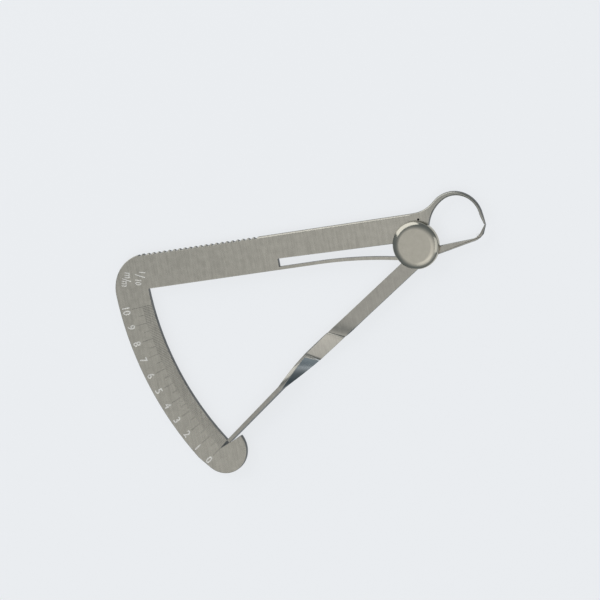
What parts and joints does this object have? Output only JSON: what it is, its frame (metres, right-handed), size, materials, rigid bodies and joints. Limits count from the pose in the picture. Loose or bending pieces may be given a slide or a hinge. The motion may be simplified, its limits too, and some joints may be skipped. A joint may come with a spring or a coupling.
{
  "type": "spring caliper",
  "caption": "Flat sheet-steel spring caliper: serrated arm with a curved scale, twisted pointer lever on a round pivot, leaf spring and fine curved jaws.",
  "frame": {"origin": "pivot axis, at the underside of the back disc", "axes": "+Z along the pivot axis towards the scale side, +X along the arm towards the jaws, +Y towards the finger edge of the arm"},
  "size_m": [0.103, 0.0643, 0.0043],
  "materials": {
    "sheet_steel": "fine satin grain, bright broken edges",
    "turned_steel": "turned, satin face, bright rounded edges"
  },
  "bodies": {
    "frame": {"frame": "sheet_steel", "pivot_rivet": "turned_steel", "back_disc": "turned_steel"},
    "lever": {"pointer_lever": "sheet_steel"},
    "leaf": {"leaf_spring": "sheet_steel"}
  },
  "joints": [
    {"name": "lever_pivot", "type": "hinge", "parent": "frame", "child": "lever", "pos_m": [0, 0, 0.00195], "axis": [0, 0, -1], "range_deg": [0, 31.36], "stiffness_Nm_per_rad": 0.025, "springref_deg": -12.61},
    {"name": "leaf_flex", "type": "hinge", "parent": "frame", "child": "leaf", "pos_m": [-0.03757, -0.0009, 0.00195], "axis": [0, 0, 1], "range_deg": [0, 5.1]}
  ],
  "couplings": [
    {"joint": "leaf_flex", "follows": "lever_pivot", "ratio": 0.162}
  ]
}
